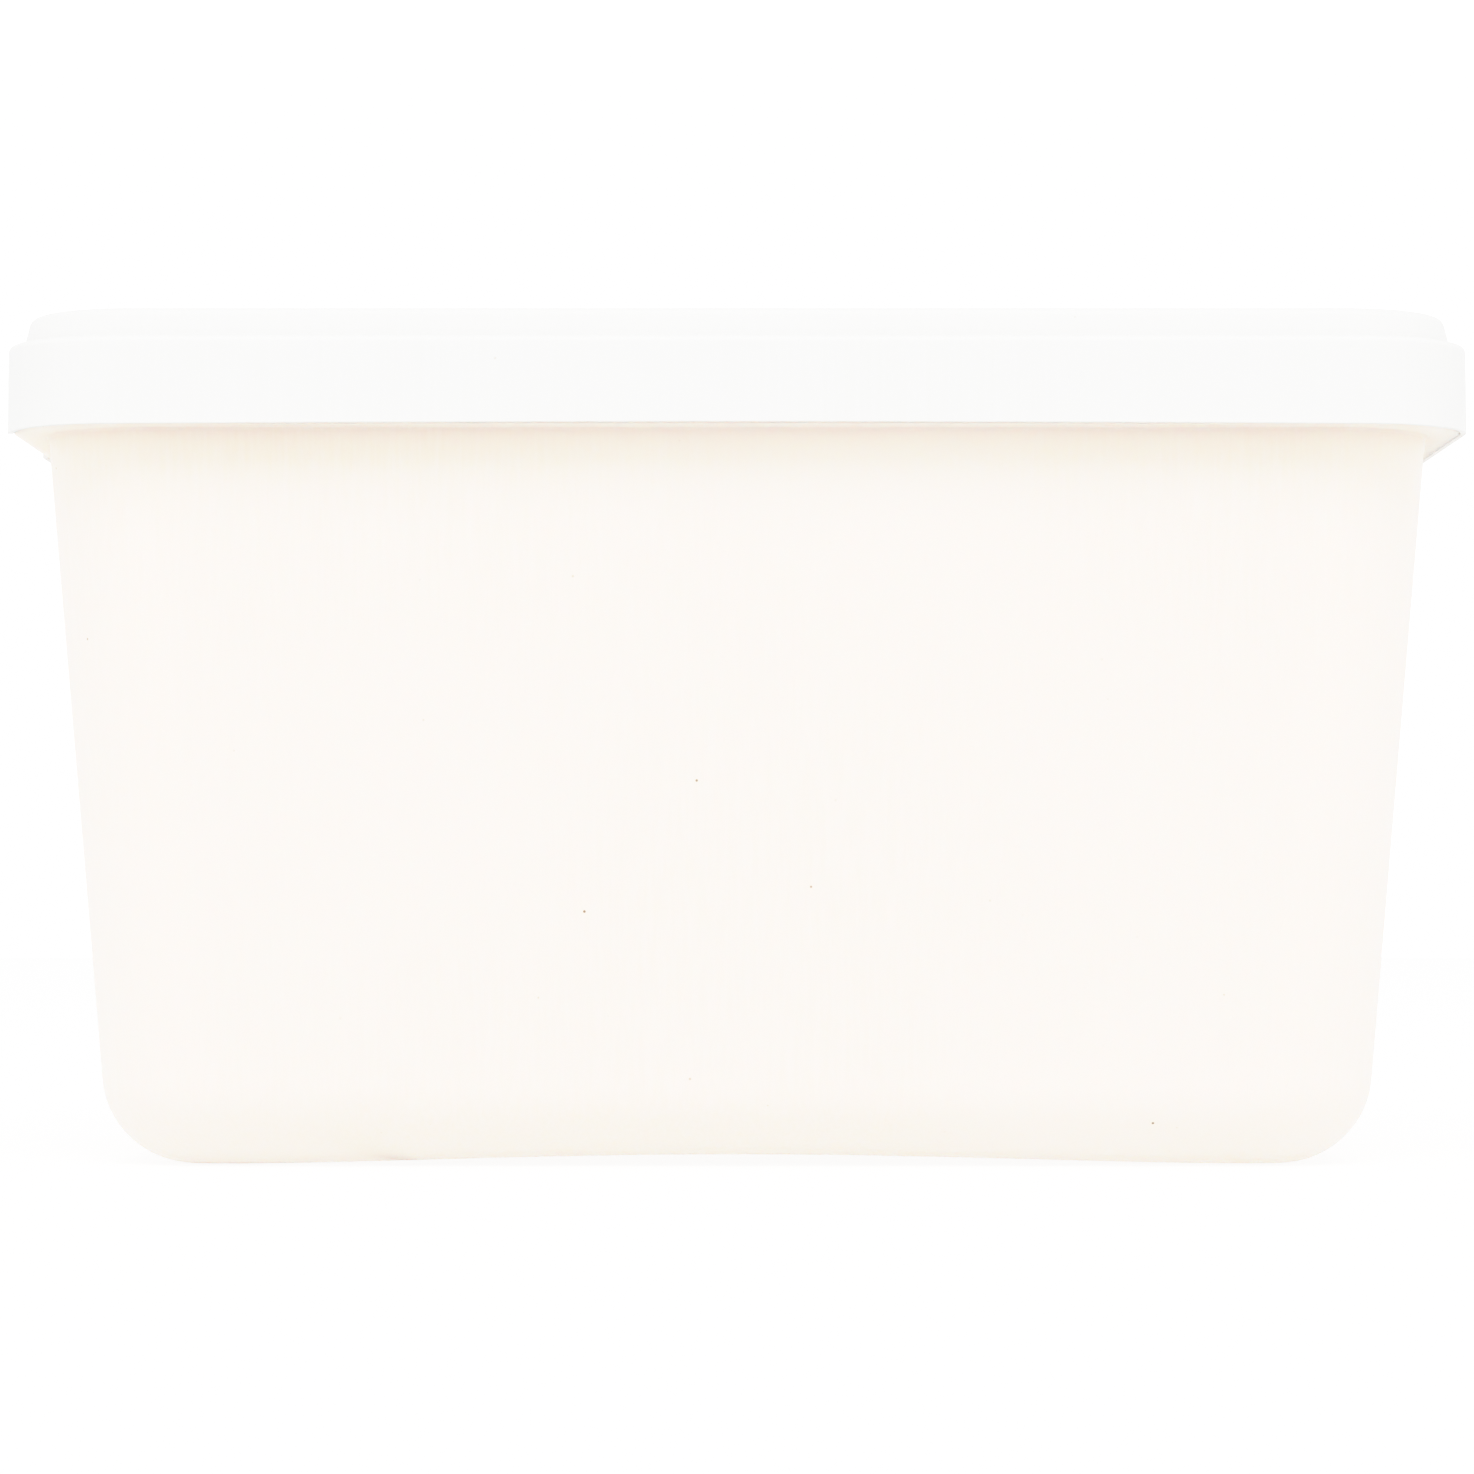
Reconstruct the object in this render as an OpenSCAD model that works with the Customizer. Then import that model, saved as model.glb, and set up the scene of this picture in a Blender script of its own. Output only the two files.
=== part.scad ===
// Rectangular two-litre ice cream tub, shut, with its clip-on lid.
// Origin at the centre of the base, on the plane the feet stand on.
// +Z is up, +X runs along the long side, and the front faces -Y.

/* [Lid] */
// Length of the lid over its skirt's lower edge
lid_length = 194; // [150:1:240]
// Depth of the lid over its skirt's lower edge, front to back
lid_depth = 131; // [105:1:170]
// Plan radius of the skirt's corners at its lower edge
lid_corner_r = 16; // [13:0.5:22]
// Thickness of the skirt
skirt_wall = 0.6; // [0.5:0.1:1.2]
// How far the skirt leans out from top to bottom
skirt_flare = 0.1; // [0:0.05:0.5]
// Thickness of the ledge on top of the skirt
ledge_wall = 1.1; // [0.8:0.1:2]
// Rounding of the ledge's outer edge
ledge_edge_r = 0.8; // [0.4:0.1:1]

/* [Stacking rim] */
// Distance from the skirt's face in to the foot of the rim
rim_inset = 2; // [1.8:0.05:4]
// Plan radius of the rim's corners
rim_corner_r = 15; // [12:0.5:20]
// Height of the rim above the ledge
rim_height = 3.95; // [3.3:0.05:8]
// Width of the rim at its foot
rim_width = 4.4; // [4:0.1:6]
// How far the rim's outer side leans in over its height
rim_lean = 0.85; // [0:0.05:1]
// How far the rim's inner side leans over its height
rim_inner_lean = 0.35; // [0:0.05:0.6]
// Hollow rounding at the rim's outer foot
rim_foot_r = 0.5; // [0.3:0.1:1.2]
// Rounding of the rim's top edges
rim_top_r = 1; // [0.5:0.1:1.5]
// Depth of the top panel below the rim's top
panel_drop = 3.2; // [2:0.1:3.6]

/* [Finger notch] */
// Distance from the lid's front face back to the notch in the left skirt
notch_from_front = 13.5; // [8:0.5:30]
// Length of the notch along the left skirt
notch_length = 33.5; // [15:0.5:50]
// Height of the notch above the skirt's lower edge
notch_height = 8; // [3:0.1:9]
// Rounding of the notch's upper corners
notch_r = 2.5; // [1:0.1:3]

/* [Tub] */
// Height of the wall, from the feet to the shelf under the rim
wall_height = 97.05; // [70:0.05:130]
// Draft of the wall from upright, in degrees
wall_draft = 4.5; // [2:0.05:6]
// Plan radius of the wall's corners
wall_corner_r = 15; // [12:0.5:20]
// Rounding between the wall and the base
base_fillet = 12; // [6:0.5:14]
// Height of the rim that the lid clips over
lip_height = 10.45; // [8:0.05:14]
// Width of the shelf under the rim, from the wall out to the rim's face
shelf_width = 4; // [3:0.05:6]
// Hollow rounding between the wall and the shelf
cove_r = 0.6; // [0.3:0.1:2.5]

/* [Base] */
// Width of the foot that runs round the base
foot_width = 6; // [3:0.5:9]
// Depth of the panel inside the foot
base_panel_depth = 1; // [0.4:0.1:2]
// Width of the slope between the foot and the panel
base_panel_slope = 1.5; // [0.8:0.1:3]
// Rise of the long edges at their middle
side_arch = 1.2; // [0:0.1:2]
// Half the length over which a long edge rises
side_arch_span = 66; // [40:1:66]
// Rise of the short edges at their middle
end_arch = 0.6; // [0:0.1:1.2]
// Half the length over which a short edge rises
end_arch_span = 30; // [15:1:30]

/* [Gate marks] */
// Radius of the moulding mark on the base and on the lid
gate_r = 3; // [1.5:0.5:5]
// Height of the moulding mark
gate_height = 0.4; // [0.2:0.1:0.6]

/* [Fit] */
// Gap all round between the rim and the lower edge of the lid's skirt
lid_clearance = 0.3; // [0.25:0.05:1]

/* [Hidden] */
$fn = 48;
corner_steps = 8;        // facets in a quarter turn of the tub's corners
fillet_steps = 8;        // bands in the base fillet
long_steps = 12;         // facets along a long edge
short_steps = 8;         // facets along a short edge
cove_steps = 4;          // bands in the hollow under the rim
arc_steps = 6;           // facets in a small rounding of the lid's section
arch_power = 1.5;        // how soon an arch leaves the ground
overlap = 0.5;           // how far the notch's cutter passes the skirt

skirt_z = wall_height;
flange_z = skirt_z + lip_height;
ledge_z = flange_z + ledge_wall;
rim_z = ledge_z + rim_height;
panel_z = rim_z - panel_drop;

lip_inset = skirt_wall + lid_clearance;
wall_inset = lip_inset + shelf_width;
foot_inset = wall_inset + wall_height * tan(wall_draft);
fillet_r = min(base_fillet, wall_corner_r - 1);

// --- the tub, lofted through rounded rectangles ---

function straight(from, to, steps) = [for (i = [1 : steps - 1]) from + (to - from) * i / steps];
function arc(centre, r, from, to, steps) =
    [for (i = [0 : steps]) let (a = from + (to - from) * i / steps) centre + r * [cos(a), sin(a)]];

// A rounded rectangle's outline, anticlockwise from the middle of its right-hand end
function outline(half_x, half_y, r) = let (cx = half_x - r, cy = half_y - r) concat(
    straight([half_x, -cy], [half_x, cy], short_steps),
    arc([cx, cy], r, 0, 90, corner_steps),
    straight([cx, half_y], [-cx, half_y], long_steps),
    arc([-cx, cy], r, 90, 180, corner_steps),
    straight([-half_x, cy], [-half_x, -cy], short_steps),
    arc([-cx, -cy], r, 180, 270, corner_steps),
    straight([-cx, -half_y], [cx, -half_y], long_steps),
    arc([cx, -cy], r, 270, 360, corner_steps));

function arch(t) = t < 1 ? pow(cos(90 * t), arch_power) : 0;
function lift(p) = side_arch * arch(abs(p[0]) / side_arch_span) + end_arch * arch(abs(p[1]) / end_arch_span);

// A level of the loft: its height, its distance in from the lid's skirt, its plan
// radius, how much of the base's arch it takes, and how far it is drawn to the centre
function level(z, inset, r, arched = 0, shrink = 1) = [z, inset, r, arched, shrink];
function level_points(l) =
    [for (p = l[4] * outline(lid_length / 2 - l[1], lid_depth / 2 - l[1], l[2]))
        [p[0], p[1], l[0] + l[3] * lift(p)]];

// Joins the levels' outlines into one closed solid, each end a fan about its middle point
module loft(levels) {
    rings = [for (l = levels) level_points(l)];
    count = len(rings[0]);
    last = len(rings) - 1;
    bottom = len(rings) * count;
    top = bottom + 1;
    middles = [for (l = [levels[0], levels[last]]) [0, 0, l[0] + l[3] * lift([0, 0])]];
    points = concat([for (ring = rings) each ring], middles);
    faces = [for (i = [0 : count - 1]) let (j = (i + 1) % count) each concat(
        [[bottom, i, j]],
        [for (k = [0 : last - 1])
            [k * count + i, (k + 1) * count + i, (k + 1) * count + j, k * count + j]],
        [[top, last * count + j, last * count + i]])];
    polyhedron(points = points, faces = faces);
}

panel_inset = foot_inset + fillet_r + foot_width;
panel_r = 1;
base_levels = [
    level(base_panel_depth, panel_inset + base_panel_slope, panel_r, 1, 0.35),
    level(base_panel_depth, panel_inset + base_panel_slope, panel_r, 1, 0.7),
    level(base_panel_depth, panel_inset + base_panel_slope, panel_r, 1),
    level(0, panel_inset, panel_r + base_panel_slope, 1)];
fillet_levels = [for (i = [0 : fillet_steps])
    let (a = i * (90 - wall_draft) / fillet_steps,
         in = fillet_r * (1 - sin(a)),
         z = fillet_r * (1 - cos(a)))
    level(z, foot_inset - z * tan(wall_draft) + in, wall_corner_r - in, pow(1 - z / fillet_r, 2))];
cove_inset = wall_inset + cove_r * (1 - sin(wall_draft)) * tan(wall_draft);
cove_levels = [for (i = [0 : cove_steps])
    let (a = wall_draft + i * (90 - wall_draft) / cove_steps,
         out = cove_r * (cos(wall_draft) - cos(a)))
    level(skirt_z - cove_r * (1 - sin(a)), cove_inset - out, wall_corner_r + out)];
rim_levels = [
    level(skirt_z, lip_inset, lid_corner_r - lip_inset),
    level(flange_z, lip_inset, lid_corner_r - lip_inset)];

module gate_mark(z) {
    translate([0, 0, z]) cylinder(r = gate_r, h = gate_height);
}

module tub() {
    base_z = base_panel_depth + side_arch + end_arch;
    color("antiquewhite") union() {
        loft(concat(base_levels, fillet_levels, cove_levels, rim_levels));
        gate_mark(base_z - gate_height);
    }
}

// --- the lid, two sections swept round its rounded corners ---

// Sweeps a section round the lid. Its first number is counted out from the corners'
// centre, at 0, to the outer face, at r, which lies inset from the skirt's lower edge
module sweep(section, inset, r) {
    cx = lid_length / 2 - inset - r;
    cy = lid_depth / 2 - inset - r;
    for (side = [0, 1]) rotate(180 * side) {
        translate([cx, 0, 0]) section_run(section, 2 * cy);
        translate([0, cy, 0]) rotate(90) section_run(section, 2 * cx);
        translate([cx, cy, 0]) section_corner(section);
        translate([-cx, cy, 0]) rotate(90) section_corner(section);
    }
}

module section_run(section, length) {
    rotate([90, 0, 0]) linear_extrude(length, center = true) polygon(section);
}

module section_corner(section) {
    rotate_extrude(angle = 90) polygon(section);
}

// The skirt, the ledge on top of it and the plate that closes the tub's mouth
function skirt_section() = let (top_x = lid_corner_r - skirt_flare) concat(
    [[0, flange_z], [top_x - skirt_wall, flange_z],
     [lid_corner_r - skirt_wall, skirt_z], [lid_corner_r, skirt_z]],
    arc([top_x - ledge_edge_r, ledge_z - ledge_edge_r], ledge_edge_r, 0, 90, arc_steps),
    [[0, ledge_z]]);

// The raised rim and the panel inside it
function rim_section() = let (
    top_x = rim_corner_r - rim_lean,
    inner_x = rim_corner_r - rim_width,
    inner_top_x = inner_x + rim_inner_lean) concat(
    [[0, flange_z], [rim_corner_r + rim_foot_r, flange_z]],
    arc([rim_corner_r + rim_foot_r, ledge_z + rim_foot_r], rim_foot_r, 270, 180, arc_steps),
    arc([top_x - rim_top_r, rim_z - rim_top_r], rim_top_r, 0, 90, arc_steps),
    arc([inner_top_x + rim_top_r, rim_z - rim_top_r], rim_top_r, 90, 180, arc_steps),
    [[inner_x, panel_z], [0, panel_z]]);

module lid_shell() {
    core = 2 * (rim_inset + rim_corner_r);
    sweep(skirt_section(), 0, lid_corner_r);
    sweep(rim_section(), rim_inset, rim_corner_r);
    translate([-(lid_length - core) / 2, -(lid_depth - core) / 2, flange_z])
        cube([lid_length - core, lid_depth - core, panel_z - flange_z]);
}

// Cutter for the notch, passing through the left skirt only
module finger_notch() {
    y = -lid_depth / 2 + notch_from_front;
    translate([-lid_length / 2 - overlap, y, skirt_z])
        rotate([90, 0, 90]) linear_extrude(2 * overlap + lip_inset) {
            translate([0, -overlap]) square([notch_length, notch_height - notch_r + overlap]);
            translate([notch_r, 0]) square([notch_length - 2 * notch_r, notch_height]);
            for (x = [notch_r, notch_length - notch_r])
                translate([x, notch_height - notch_r]) circle(notch_r);
        }
}

module lid() {
    color("white") {
        difference() {
            lid_shell();
            finger_notch();
        }
        gate_mark(panel_z);
    }
}

tub();
lid();
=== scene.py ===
import bmesh
import bpy
import math
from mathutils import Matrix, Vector


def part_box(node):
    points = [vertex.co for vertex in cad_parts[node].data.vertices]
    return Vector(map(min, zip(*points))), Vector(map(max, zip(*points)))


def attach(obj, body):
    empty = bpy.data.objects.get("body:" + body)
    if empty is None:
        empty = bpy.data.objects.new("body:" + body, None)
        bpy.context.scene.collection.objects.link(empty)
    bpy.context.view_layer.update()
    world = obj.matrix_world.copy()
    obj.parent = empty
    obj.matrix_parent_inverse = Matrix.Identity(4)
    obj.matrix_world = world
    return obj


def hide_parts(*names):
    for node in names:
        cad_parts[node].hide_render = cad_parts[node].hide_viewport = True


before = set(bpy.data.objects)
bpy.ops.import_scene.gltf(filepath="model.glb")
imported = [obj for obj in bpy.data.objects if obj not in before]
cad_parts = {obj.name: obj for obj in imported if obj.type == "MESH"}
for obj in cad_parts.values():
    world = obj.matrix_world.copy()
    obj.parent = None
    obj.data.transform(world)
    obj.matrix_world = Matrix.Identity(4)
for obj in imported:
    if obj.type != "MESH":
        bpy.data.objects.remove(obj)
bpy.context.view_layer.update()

mm = 0.001
near = 0.01 * mm            # two places closer than this are the same
onRing = 0.12 * mm          # how far a corner's edge may stray from the true round
cornerSteps = 20            # facets in each quarter turn of a corner
through = 1 * mm            # an edge that reaches further than this runs right through a block
flatEnough = 0.99           # how nearly straight up or down a level face looks
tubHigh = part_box("tub")[1]
lidLow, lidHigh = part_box("lid")


def selectNothing():
    if bpy.context.mode != "OBJECT":
        bpy.ops.object.mode_set(mode="OBJECT")
    bpy.ops.object.select_all(action="DESELECT")


def choose(piece):
    selectNothing()
    piece.select_set(True)
    bpy.context.view_layer.objects.active = piece


def openPiece(piece):
    choose(piece)
    bpy.ops.object.mode_set(mode="EDIT")


def pick(piece, kind, test):
    # picks those verts, edges or faces of the open piece that pass the test
    mode = {"verts": "VERT", "edges": "EDGE", "faces": "FACE"}[kind]
    bpy.ops.mesh.select_mode(type=mode)
    bpy.ops.mesh.select_all(action="DESELECT")
    mesh = bmesh.from_edit_mesh(piece.data)
    for part in getattr(mesh, kind):
        if test(part):
            part.select_set(True)
    mesh.select_flush_mode()
    bmesh.update_edit_mesh(piece.data)


def edgeRise(edge):
    return abs(edge.verts[0].co.z - edge.verts[1].co.z)


def ringGap(place, halfX, halfY, radius):
    # how far a place lies outside a rounded rectangle, or inside it if below zero
    x = abs(place[0]) - halfX + radius
    y = abs(place[1]) - halfY + radius
    return math.hypot(max(x, 0), max(y, 0)) + min(max(x, y), 0) - radius


def ringAt(halfX, halfY, radius, z):
    # test for the edges of one level ring
    def test(edge):
        return all(abs(vert.co.z - z) < near and abs(ringGap(vert.co, halfX, halfY, radius)) < onRing
                   for vert in edge.verts)
    return test


def levelFace(z, up):
    # test for the flat face that looks up or down at this height
    def test(face):
        return face.normal.z * up > flatEnough and all(abs(vert.co.z - z) < near for vert in face.verts)
    return test


def addBlock(name, low, high, lowSize, highSize, radius):
    # a block whose sides lean, with its upright corners rounded
    selectNothing()
    bpy.ops.mesh.primitive_cube_add(size=2, location=(0, 0, (low + high) / 2),
                                    scale=(highSize[0], highSize[1], (high - low) / 2))
    block = bpy.context.object
    block.name = name
    block.data.name = name
    bpy.ops.object.transform_apply(location=True, rotation=True, scale=True)
    openPiece(block)
    pick(block, "faces", levelFace(low, -1))
    bpy.ops.transform.resize(value=(lowSize[0] / highSize[0], lowSize[1] / highSize[1], 1),
                             center_override=(0, 0, low))
    pick(block, "edges", lambda edge: edgeRise(edge) > through)
    # the offset is measured square to the leaning edge, and the radius is wanted in plan
    leanSquared = ((highSize[0] - lowSize[0]) / (high - low)) ** 2
    offset = radius * math.sqrt((1 + leanSquared) / (1 + 2 * leanSquared))
    bpy.ops.mesh.bevel(offset=offset, offset_type="OFFSET", segments=cornerSteps, profile=0.5,
                       affect="EDGES", clamp_overlap=False)
    bpy.ops.object.mode_set(mode="OBJECT")
    return block


def roundRing(piece, ring, radius, steps):
    pick(piece, "edges", ringAt(*ring))
    bpy.ops.mesh.bevel(offset=radius, offset_type="OFFSET", segments=steps, profile=0.5,
                       affect="EDGES", clamp_overlap=False)


def stepFace(fromSize, toSize, rise):
    # carries the picked flat face on to another size and height, leaving walls behind it
    bpy.ops.mesh.extrude_region_move()
    bpy.ops.transform.resize(value=(toSize[0] / fromSize[0], toSize[1] / fromSize[1], 1),
                             center_override=(0, 0, 0))
    bpy.ops.transform.translate(value=(0, 0, rise))


def removeFace(piece, face):
    openPiece(piece)
    pick(piece, "faces", face)
    bpy.ops.mesh.delete(type="ONLY_FACE")
    bpy.ops.object.mode_set(mode="OBJECT")


def joinPieces(piece, other):
    choose(piece)
    other.select_set(True)
    bpy.ops.object.join()


def bridgeRings(piece, ringA, ringB):
    openPiece(piece)
    first, second = ringAt(*ringA), ringAt(*ringB)
    pick(piece, "edges", lambda edge: first(edge) or second(edge))
    bpy.ops.mesh.bridge_edge_loops()
    bpy.ops.object.mode_set(mode="OBJECT")


def slicePiece(piece, axis, places):
    # cuts the open piece across at each place, so that it can bend there
    for place in places:
        bpy.ops.mesh.select_all(action="SELECT")
        at = [0, 0, 0]
        way = [0, 0, 0]
        at[axis] = place
        way[axis] = 1
        bpy.ops.mesh.bisect(plane_co=at, plane_no=way)


gateMark = {
    "radius": 3 * mm,
    "height": 0.4 * mm,
    "edgeRound": 0.15 * mm,
    "edgeSteps": 2,
    "sides": 48,
}


def addGateMark(name, low, high):
    # the small round left where the plastic was fed into the mould
    selectNothing()
    bpy.ops.mesh.primitive_cylinder_add(vertices=gateMark["sides"], radius=gateMark["radius"],
                                        depth=high - low, location=(0, 0, (low + high) / 2))
    mark = bpy.context.object
    mark.name = name
    bpy.ops.object.transform_apply(location=True, rotation=True, scale=True)
    openPiece(mark)
    pick(mark, "edges", lambda edge: edgeRise(edge) < near)
    bpy.ops.mesh.bevel(offset=gateMark["edgeRound"], segments=gateMark["edgeSteps"], affect="EDGES")
    bpy.ops.object.mode_set(mode="OBJECT")
    return mark


def cutOrAdd(piece, tool, operation):
    choose(piece)
    modifier = piece.modifiers.new(operation.lower(), "BOOLEAN")
    modifier.operation = operation
    modifier.solver = "EXACT"
    modifier.object = tool
    bpy.ops.object.modifier_apply(modifier=modifier.name)
    bpy.data.objects.remove(tool)


finishing = {
    "merge": 0.002 * mm,
    "smoothUnder": math.radians(40),
    "flatWeight": 60,           # how strongly the flats lead the shading of the roundings
}


def finishPiece(piece):
    # closes up doubles, turns every face outwards and gives the flats clean shading
    openPiece(piece)
    bpy.ops.mesh.select_all(action="SELECT")
    bpy.ops.mesh.remove_doubles(threshold=finishing["merge"])
    bpy.ops.mesh.normals_make_consistent(inside=False)
    bpy.ops.object.mode_set(mode="OBJECT")
    choose(piece)
    bpy.ops.object.shade_smooth_by_angle(angle=finishing["smoothUnder"])
    weighted = piece.modifiers.new("weighted", "WEIGHTED_NORMAL")
    weighted.keep_sharp = True
    weighted.weight = finishing["flatWeight"]
    bpy.ops.object.modifier_apply(modifier=weighted.name)
    selectNothing()


tub = {
    "corner": 15 * mm,          # plan radius of the wall
    "draft": math.radians(4.5),
    "baseRound": 12 * mm,
    "baseSteps": 14,
    "footWidth": 6 * mm,
    "panelSlope": 1.5 * mm,
    "panelRise": 1 * mm,
    "footEdge": 0.4 * mm,       # softening of the foot's and the panel's edges
    "footSteps": 3,
    "shelfWidth": 4 * mm,       # from the wall out to the rim that the lid clips over
    "shelfRound": 0.1 * mm,
    "shelfSteps": 3,
    "rimCorner": 15.1 * mm,
    "cove": 0.6 * mm,           # hollow under the shelf
    "coveSteps": 6,
    "sideArch": 1.2 * mm,       # how far a long lower edge rises at its middle
    "sideSpan": 66 * mm,
    "sideSteps": 11,
    "endArch": 0.6 * mm,
    "endSpan": 30 * mm,
    "endSteps": 7,
    "archTop": 8 * mm,          # the arches have died away at this height
    "archPower": 1.5,           # higher keeps an arch's ends on the floor for longer
    "markRoot": 1 * mm,         # how far the moulding mark reaches into the tub
}


def archAt(place, span):
    # how much of an arch is left at this distance from its middle
    return max(math.cos(math.pi / 2 * min(abs(place) / span, 1)), 0) ** tub["archPower"]


def buildTub():
    shelfZ = lidLow.z
    lean = math.tan(tub["draft"])

    def wallSize(z):
        inset = tub["shelfWidth"] + (shelfZ - z) * lean
        return tubHigh.x - inset, tubHigh.y - inset

    # the wall, rounded into the base
    piece = addBlock("ice_cream_tub", 0, shelfZ, wallSize(0), wallSize(shelfZ), tub["corner"])
    openPiece(piece)
    foot = wallSize(0)
    reach = tub["baseRound"] * math.tan((math.pi / 2 - tub["draft"]) / 2)
    roundRing(piece, (*foot, tub["corner"], 0), reach, tub["baseSteps"])

    # the foot runs round a shallow panel
    outer = [half - reach for half in foot]
    inner = [half - tub["footWidth"] for half in outer]
    panel = [half - tub["panelSlope"] for half in inner]
    pick(piece, "faces", levelFace(0, -1))
    stepFace(outer, inner, 0)
    stepFace(inner, panel, tub["panelRise"])

    # soft edges to the foot and the panel
    def insideFoot(vert):
        return abs(vert.co.x) < inner[0] + near and abs(vert.co.y) < inner[1] + near

    pick(piece, "edges", lambda edge: edgeRise(edge) < near and all(insideFoot(vert) for vert in edge.verts))
    bpy.ops.mesh.bevel(offset=tub["footEdge"], segments=tub["footSteps"], affect="EDGES",
                       clamp_overlap=False)

    # the rim stands out from the wall on a shelf
    rimSize = (tubHigh.x, tubHigh.y)
    rim = addBlock("rim", shelfZ, tubHigh.z, rimSize, rimSize, tub["rimCorner"])
    removeFace(rim, levelFace(shelfZ, -1))
    removeFace(piece, levelFace(shelfZ, 1))
    joinPieces(piece, rim)
    wallRing = (*wallSize(shelfZ), tub["corner"], shelfZ)
    shelfRing = (*rimSize, tub["rimCorner"], shelfZ)
    bridgeRings(piece, wallRing, shelfRing)
    openPiece(piece)
    coveReach = tub["cove"] / math.tan((math.pi / 2 - tub["draft"]) / 2)
    roundRing(piece, wallRing, coveReach, tub["coveSteps"])
    roundRing(piece, shelfRing, tub["shelfRound"], tub["shelfSteps"])

    # the lower edges rise towards their middles
    top = tub["archTop"]
    arches = ((0, tub["sideArch"], tub["sideSpan"], tub["sideSteps"]),
              (1, tub["endArch"], tub["endSpan"], tub["endSteps"]))
    for axis, rise, span, steps in arches:
        places = [span * k / steps for k in range(1 - steps, steps)]
        slicePiece(piece, axis, places + [-span, span])
        for place in places:
            pick(piece, "verts", lambda vert: abs(vert.co[axis] - place) < near and vert.co.z < top)
            lift = rise * archAt(place, span)
            bpy.ops.transform.resize(value=(1, 1, (top - lift) / top), center_override=(0, 0, top))
    bpy.ops.object.mode_set(mode="OBJECT")

    # the mark hangs from the middle of the panel, which the arches have raised
    panelZ = tub["panelRise"] + (tub["sideArch"] + tub["endArch"]) * (1 - tub["panelRise"] / top)
    mark = addGateMark("tubMark", panelZ - gateMark["height"], panelZ + tub["markRoot"])
    cutOrAdd(piece, mark, "UNION")
    finishPiece(piece)
    return piece


lid = {
    "corner": 16 * mm,          # plan radius of the skirt at its lower edge
    "skirtWall": 0.88 * mm,     # the inside hangs straight down
    "skirtLean": 0.1 * mm,      # how far the skirt draws in towards its top
    "skirtRound": 0.15 * mm,
    "skirtSteps": 3,
    "skirtBow": 0.26 * mm,      # how far a long lower edge rises at its middle
    "bowSpan": 80 * mm,
    "bowSteps": 9,
    "bowBand": 0.6 * mm,        # only this much of the skirt's lower edge moves with the bow
    "ledgeWall": 1.1 * mm,
    "ledgeRound": 0.8 * mm,
    "ledgeSteps": 6,
    "rimIn": 2 * mm,            # from the skirt's lower edge in to the foot of the rim
    "rimCorner": 15 * mm,
    "rimWidth": 4.4 * mm,
    "rimLean": 0.85 * mm,
    "innerLean": 0.35 * mm,
    "rimFoot": 0.5 * mm,
    "rimFootSteps": 6,
    "rimRound": 1 * mm,
    "rimSteps": 7,
    "panelDrop": 3.2 * mm,
    "panelRound": 0.8 * mm,
    "panelSteps": 5,
    "notchFront": 13.5 * mm,    # from the front of the lid back to the finger notch
    "notchLength": 33.5 * mm,
    "notchHeight": 8 * mm,
    "notchRound": 2.5 * mm,
    "notchSteps": 10,
    "cutterReach": 2.2 * mm,    # the notch's cutter stands this far to each side of the skirt's face
    "markRoot": 0.5 * mm,
}


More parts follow.
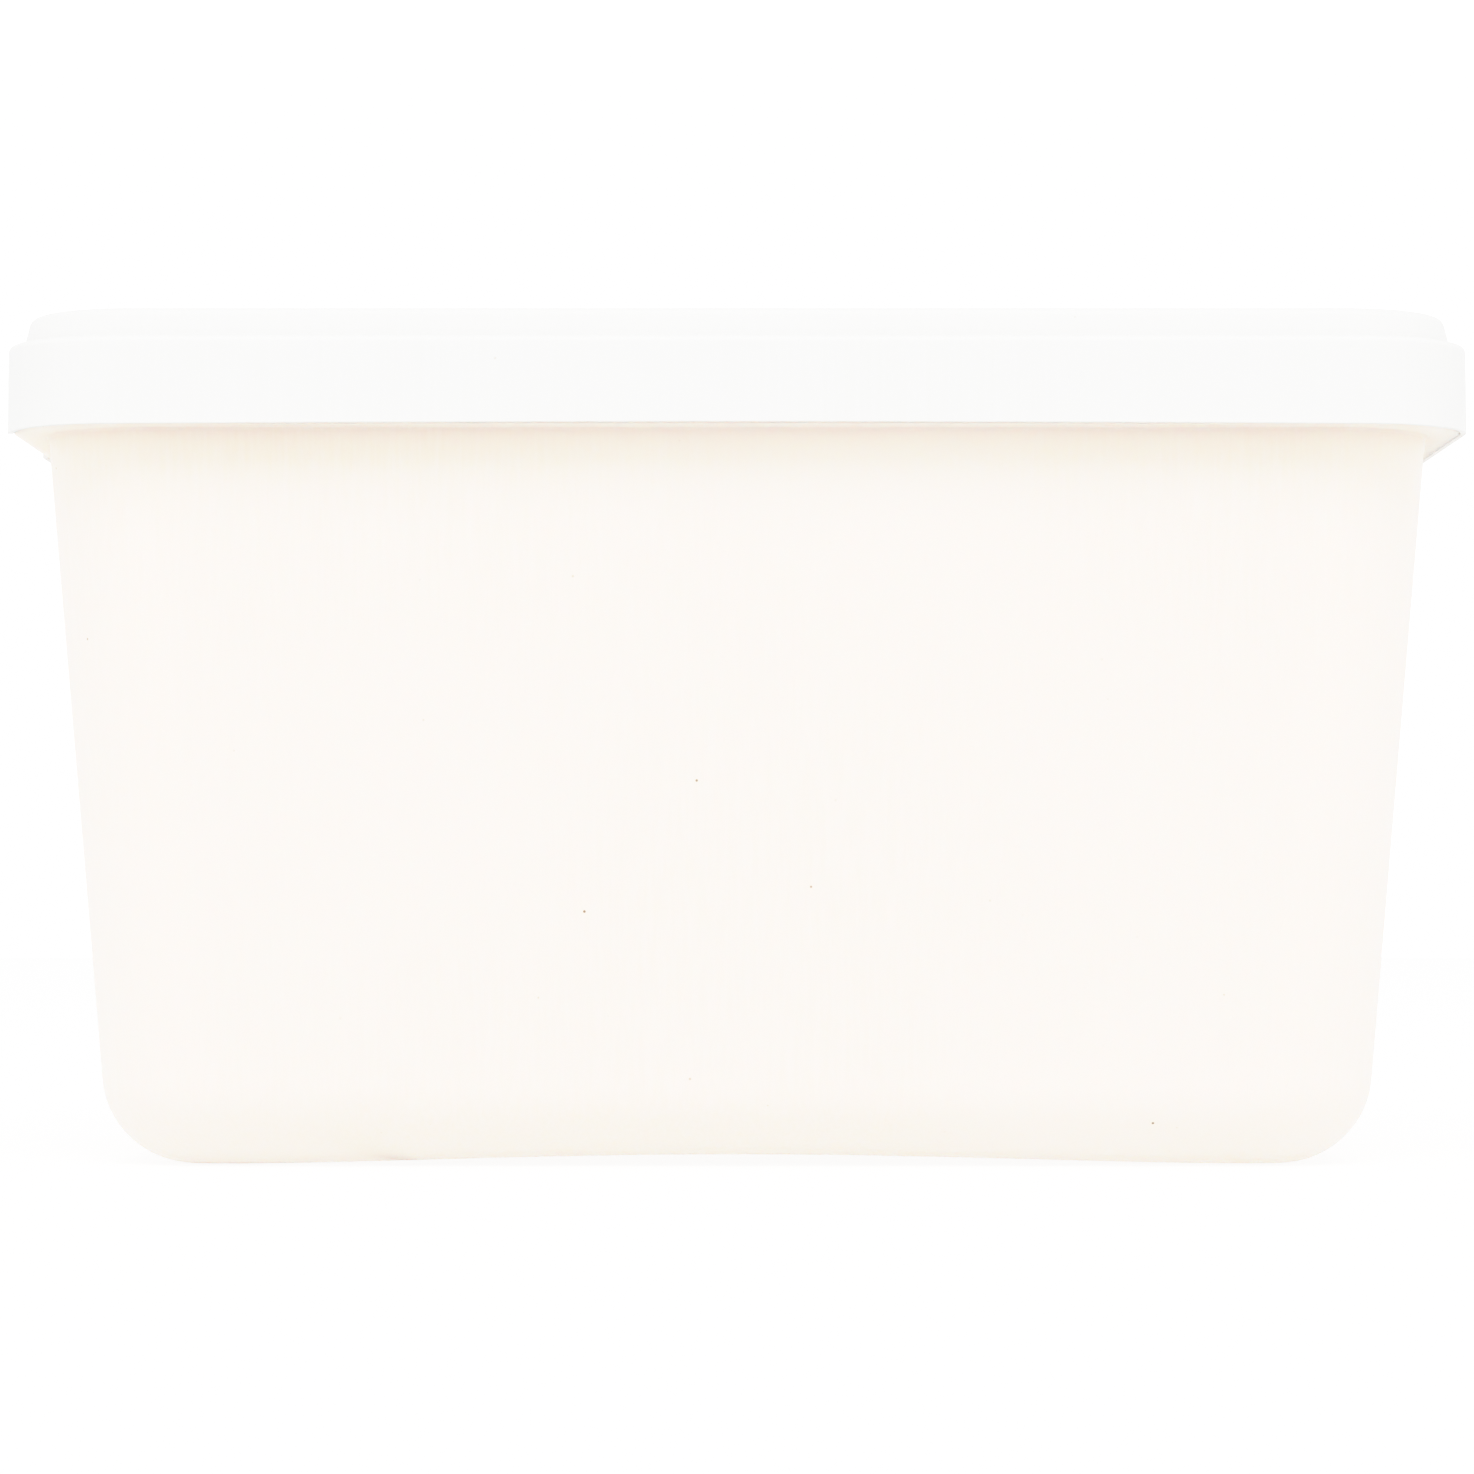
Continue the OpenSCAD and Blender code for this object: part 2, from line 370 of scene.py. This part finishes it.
def buildLid():
    skirtZ, rimZ = lidLow.z, lidHigh.z
    ledgeZ = tubHigh.z + lid["ledgeWall"]
    panelZ = rimZ - lid["panelDrop"]

    def size(inset):
        return lidHigh.x - inset, lidHigh.y - inset

    # the skirt hangs from the plate that closes the tub
    ledgeSize = size(lid["skirtLean"])
    ledgeCorner = lid["corner"] - lid["skirtLean"]
    piece = addBlock("ice_cream_tub_lid", skirtZ, ledgeZ, size(0), ledgeSize, lid["corner"])
    openPiece(piece)
    pick(piece, "faces", levelFace(skirtZ, -1))
    bpy.ops.mesh.inset(thickness=lid["skirtWall"], use_even_offset=True)
    stepFace(size(lid["skirtWall"]), size(lid["skirtWall"]), tubHigh.z - skirtZ)

    # the stacking rim stands on the ledge
    rimFoot = size(lid["rimIn"])
    rimTop = size(lid["rimIn"] + lid["rimLean"])
    rim = addBlock("rim", ledgeZ, rimZ, rimFoot, rimTop, lid["rimCorner"])
    removeFace(rim, levelFace(ledgeZ, -1))
    removeFace(piece, levelFace(ledgeZ, 1))
    joinPieces(piece, rim)
    ledgeRing = (*ledgeSize, ledgeCorner, ledgeZ)
    footRing = (*rimFoot, lid["rimCorner"], ledgeZ)
    bridgeRings(piece, ledgeRing, footRing)

    # the top panel lies sunk inside the rim
    openPiece(piece)
    topWidth = lid["rimWidth"] - lid["rimLean"] - lid["innerLean"]
    pick(piece, "faces", levelFace(rimZ, 1))
    bpy.ops.mesh.inset(thickness=topWidth, use_even_offset=True)
    innerTop = [half - topWidth for half in rimTop]
    innerLow = [half - lid["rimWidth"] for half in rimFoot]
    stepFace(innerTop, innerLow, -lid["panelDrop"])
    innerCorner = lid["rimCorner"] - topWidth
    roundRing(piece, (*innerLow, innerCorner, panelZ), lid["panelRound"], lid["panelSteps"])
    roundRing(piece, (*innerTop, innerCorner, rimZ), lid["rimRound"], lid["rimSteps"])
    roundRing(piece, (*rimTop, lid["rimCorner"], rimZ), lid["rimRound"], lid["rimSteps"])
    roundRing(piece, footRing, lid["rimFoot"], lid["rimFootSteps"])
    roundRing(piece, ledgeRing, lid["ledgeRound"], lid["ledgeSteps"])
    bpy.ops.object.mode_set(mode="OBJECT")

    # the finger notch in the left skirt
    notchMiddle = lidLow.y + lid["notchFront"] + lid["notchLength"] / 2
    notchTop = skirtZ + lid["notchHeight"]
    notchHalf = (lid["notchLength"] / 2, 2 * lid["notchHeight"])
    selectNothing()
    bpy.ops.mesh.primitive_cube_add(size=2, location=(lidLow.x, notchMiddle, notchTop - notchHalf[1]),
                                    scale=(lid["cutterReach"], *notchHalf))
    cutter = bpy.context.object
    bpy.ops.object.transform_apply(location=True, rotation=True, scale=True)
    openPiece(cutter)
    pick(cutter, "edges", lambda edge: abs(edge.verts[0].co.x - edge.verts[1].co.x) > through)
    bpy.ops.mesh.bevel(offset=lid["notchRound"], segments=lid["notchSteps"], affect="EDGES")
    bpy.ops.object.mode_set(mode="OBJECT")
    cutOrAdd(piece, cutter, "DIFFERENCE")

    # rounds the skirt's lower edges and the notch's edges together
    def onNotch(vert):
        place = (vert.co.y - notchMiddle, vert.co.z - notchTop + notchHalf[1])
        onSkirt = vert.co.x < lidLow.x + lid["cutterReach"]
        return onSkirt and abs(ringGap(place, *notchHalf, lid["notchRound"])) < onRing

    def looseEdge(edge):
        if all(abs(vert.co.z - skirtZ) < near for vert in edge.verts):
            return not all(onNotch(vert) for vert in edge.verts)
        across = abs(edge.verts[0].co.x - edge.verts[1].co.x) > lid["skirtWall"] / 2
        return all(onNotch(vert) for vert in edge.verts) and not across

    openPiece(piece)
    pick(piece, "edges", looseEdge)
    bpy.ops.mesh.bevel(offset=lid["skirtRound"], segments=lid["skirtSteps"], affect="EDGES",
                       clamp_overlap=False)

    # the long lower edges bow up a little
    steps = lid["bowSteps"]
    places = [lid["bowSpan"] * k / steps for k in range(1 - steps, steps)]
    bowTop = skirtZ + lid["bowBand"]
    slicePiece(piece, 0, places)
    for place in places:
        pick(piece, "verts", lambda vert: abs(vert.co.x - place) < near and vert.co.z < bowTop)
        bow = lid["skirtBow"] * math.cos(math.pi / 2 * place / lid["bowSpan"])
        bpy.ops.transform.translate(value=(0, 0, bow))
    bpy.ops.object.mode_set(mode="OBJECT")

    mark = addGateMark("lidMark", panelZ - lid["markRoot"], panelZ + gateMark["height"])
    cutOrAdd(piece, mark, "UNION")
    finishPiece(piece)
    return piece


def addNode(tree, kind, values=None, links=None, **settings):
    node = tree.nodes.new(kind)
    for name, value in settings.items():
        setattr(node, name, value)
    for socket, value in (values or {}).items():
        node.inputs[socket].default_value = value
    for socket, source in (links or {}).items():
        tree.links.new(source, node.inputs[socket])
    return node


creamPlastic = {
    "name": "creamPolypropylene",
    "base": (0.856, 0.790, 0.736, 1),
    "deep": (0.844, 0.776, 0.708, 1),    # where the melt runs a little yellower
    "speck": (0.36, 0.24, 0.14, 1),
    "roughLow": 0.50,
    "roughHigh": 0.60,
    "gloss": 0.1,
    "glowDepth": 5 * mm,                 # how far light spreads inside the plastic
    "glowSpread": (1.0, 0.66, 0.5),
    "glowShare": 0.6,
    "streakDepth": 0.012 * mm,
    "grainDepth": 0.006 * mm,
    "shift": (0.31, 0.17, 0.0),
}
whitePlastic = {
    "name": "whitePolypropylene",
    "base": (0.790, 0.788, 0.778, 1),
    "deep": (0.780, 0.777, 0.762, 1),
    "speck": (0.40, 0.26, 0.12, 1),
    "roughLow": 0.42,
    "roughHigh": 0.52,
    "gloss": 0.12,
    "glowDepth": 1.5 * mm,
    "glowSpread": (1.0, 0.95, 0.9),
    "glowShare": 0.15,
    "streakDepth": 0.008 * mm,
    "grainDepth": 0.005 * mm,
    "shift": (0.73, 0.42, 0.0),
}


surface = {
    "cloudScale": 22.0,
    "streakStretch": (1700.0, 1700.0, 30.0),    # fine across the wall and long up it
    "grainScale": 2200.0,
    "speckScale": 200.0,
    "speckCore": 0.02,          # a speck is full this near its middle and gone at its edge
    "speckEdge": 0.046,
    "speckRarity": 4.0,         # higher leaves fewer dark specks
    "low": 0.3,                 # the part of a noise's range that is used
    "high": 0.7,
    "bump": 0.5,
    "refraction": 1.49,
}


def mouldedPlastic(finish):
    material = bpy.data.materials.new(finish["name"])
    material.use_nodes = True
    tree = material.node_tree
    tree.nodes.clear()
    own = addNode(tree, "ShaderNodeTexCoord").outputs["Object"]
    place = addNode(tree, "ShaderNodeMapping", {"Location": finish["shift"]},
                    {"Vector": own}).outputs["Vector"]

    # slow clouding of the melt
    cloud = addNode(tree, "ShaderNodeTexNoise", {"Scale": surface["cloudScale"], "Detail": 2.0},
                    {"Vector": place})
    # fine upright drag lines left by the mould
    drawn = addNode(tree, "ShaderNodeMapping", {"Scale": surface["streakStretch"]}, {"Vector": place})
    streak = addNode(tree, "ShaderNodeTexNoise", {"Scale": 1.0, "Detail": 2.0},
                     {"Vector": drawn.outputs["Vector"]})
    # satin grain
    grain = addNode(tree, "ShaderNodeTexNoise", {"Scale": surface["grainScale"], "Detail": 1.0},
                    {"Vector": place})
    # a dust speck here and there
    cell = addNode(tree, "ShaderNodeTexVoronoi", {"Scale": surface["speckScale"]}, {"Vector": place})
    spot = addNode(tree, "ShaderNodeMapRange",
                   {"From Min": surface["speckCore"], "From Max": surface["speckEdge"],
                    "To Min": 1.0, "To Max": 0.0},
                   {"Value": cell.outputs["Distance"]})
    # most specks are faint and a few are dark
    kind = addNode(tree, "ShaderNodeSeparateColor", {}, {"Color": cell.outputs["Color"]})
    rare = addNode(tree, "ShaderNodeMath", {1: surface["speckRarity"]}, {0: kind.outputs["Red"]},
                   operation="POWER")
    dot = addNode(tree, "ShaderNodeMath", {}, {0: spot.outputs["Result"], 1: rare.outputs["Value"]},
                  operation="MULTIPLY")

    span = {"From Min": surface["low"], "From Max": surface["high"]}
    tint = addNode(tree, "ShaderNodeMapRange", span, {"Value": cloud.outputs["Fac"]})
    lines = addNode(tree, "ShaderNodeMapRange", span, {"Value": streak.outputs["Fac"]})
    shade = addNode(tree, "ShaderNodeMath", {}, {0: tint.outputs["Result"], 1: lines.outputs["Result"]},
                    operation="MULTIPLY")
    colour = addNode(tree, "ShaderNodeMixRGB", {"Color1": finish["base"], "Color2": finish["deep"]},
                     {"Fac": shade.outputs["Value"]})
    specked = addNode(tree, "ShaderNodeMixRGB", {"Color2": finish["speck"]},
                      {"Fac": dot.outputs["Value"], "Color1": colour.outputs["Color"]})
    rough = addNode(tree, "ShaderNodeMapRange",
                    {**span, "To Min": finish["roughLow"], "To Max": finish["roughHigh"]},
                    {"Value": streak.outputs["Fac"]})
    drag = addNode(tree, "ShaderNodeBump", {"Strength": surface["bump"], "Distance": finish["streakDepth"]},
                   {"Height": streak.outputs["Fac"]})
    satin = addNode(tree, "ShaderNodeBump", {"Strength": surface["bump"], "Distance": finish["grainDepth"]},
                    {"Height": grain.outputs["Fac"], "Normal": drag.outputs["Normal"]})
    shader = addNode(tree, "ShaderNodeBsdfPrincipled",
                     {"IOR": surface["refraction"], "Specular IOR Level": finish["gloss"],
                      "Subsurface Weight": finish["glowShare"],
                      "Subsurface Radius": finish["glowSpread"],
                      "Subsurface Scale": finish["glowDepth"]},
                     {"Base Color": specked.outputs["Color"], "Roughness": rough.outputs["Result"],
                      "Normal": satin.outputs["Normal"]})
    addNode(tree, "ShaderNodeOutputMaterial", {}, {"Surface": shader.outputs["BSDF"]})
    return material


def putInPlace(piece, node, finish):
    piece.data.materials.clear()
    piece.data.materials.append(mouldedPlastic(finish))
    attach(piece, "root")
    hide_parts(node)
    print(piece.name, "has", len(piece.data.polygons), "faces")


putInPlace(buildTub(), "tub", creamPlastic)
putInPlace(buildLid(), "lid", whitePlastic)


studio = {
    "floorHalf": 4.0,
    "floorColour": (0.30, 0.30, 0.298, 1),
    "floorRough": 0.9,
    "floorGloss": 0.1,
    "floorGlow": 0.772,
    "floorDrop": 0.05 * mm,     # keeps the floor off the foot's own plane
    "skyLow": 1.36,             # strength at the horizon
    "skyHigh": 0.86,            # and straight overhead
    # a light level and what it is shown as, so that near-whites ease up to white
    "shoulder": ((0.6, 0.6), (0.75, 0.765), (0.87, 0.89), (0.99, 0.946), (1.07, 0.973), (1.16, 1.0)),
    "brightest": 1.3,
    # name, place, aimed at, width, height, watts
    "lamps": [("frontSoftbox", (0, -1.6, 2.2), (0, 0, 0.06), 2.0, 1.2, 20.0)],
}


def lightStudio():
    selectNothing()
    bpy.ops.mesh.primitive_plane_add(size=2 * studio["floorHalf"], location=(0, 0, -studio["floorDrop"]))
    floor = bpy.context.object
    floor.name = "floor"
    material = bpy.data.materials.new("paleFloor")
    material.use_nodes = True
    shader = material.node_tree.nodes["Principled BSDF"]
    shader.inputs["Base Color"].default_value = studio["floorColour"]
    shader.inputs["Roughness"].default_value = studio["floorRough"]
    shader.inputs["Specular IOR Level"].default_value = studio["floorGloss"]
    shader.inputs["Emission Color"].default_value = (1, 1, 1, 1)
    shader.inputs["Emission Strength"].default_value = studio["floorGlow"]
    floor.data.materials.append(material)

    world = bpy.data.worlds.new("whiteStudio")
    bpy.context.scene.world = world
    world.use_nodes = True
    tree = world.node_tree
    sky = tree.nodes["Background"]
    sky.inputs["Color"].default_value = (1, 1, 1, 1)
    way = addNode(tree, "ShaderNodeTexCoord").outputs["Generated"]
    rise = addNode(tree, "ShaderNodeSeparateXYZ", {}, {"Vector": way})
    fade = addNode(tree, "ShaderNodeMapRange", {"To Min": studio["skyLow"], "To Max": studio["skyHigh"]},
                   {"Value": rise.outputs["Z"]})
    tree.links.new(fade.outputs["Result"], sky.inputs["Strength"])
    world.cycles.sampling_method = "NONE"

    for name, place, aim, width, height, watts in studio["lamps"]:
        bpy.ops.object.light_add(type="AREA", location=place)
        lamp = bpy.context.object
        lamp.name = name
        lamp.data.shape = "RECTANGLE"
        lamp.data.size = width
        lamp.data.size_y = height
        lamp.data.energy = watts
        lamp.rotation_euler = (Vector(aim) - Vector(place)).to_track_quat("-Z", "Y").to_euler()
    view = bpy.context.scene.view_settings
    view.view_transform = "Standard"
    view.use_curve_mapping = True
    curves = view.curve_mapping
    curves.white_level = [studio["brightest"]] * 3
    curves.extend = "HORIZONTAL"
    allColours = curves.curves[3]
    for level, shown in studio["shoulder"]:
        allColours.points.new(level / studio["brightest"], shown)
    curves.update()
    bounces = bpy.context.scene.cycles
    bounces.max_bounces = 6
    bounces.diffuse_bounces = 4
    bounces.glossy_bounces = 2
    bounces.transmission_bounces = 2
    print("studio lit")


camera = {
    "place": (0.0, -0.6825, 0.03194),
    "tiltUp": math.radians(2.257),
    "lens": 116.43,
    "sensorWidth": 36,
}


def addCamera():
    selectNothing()
    bpy.ops.object.camera_add(location=camera["place"], rotation=(math.pi / 2 + camera["tiltUp"], 0, 0))
    shot = bpy.context.object
    shot.name = "camera"
    shot.data.sensor_width = camera["sensorWidth"]
    shot.data.lens = camera["lens"]
    bpy.context.scene.camera = shot


lightStudio()
addCamera()
selectNothing()
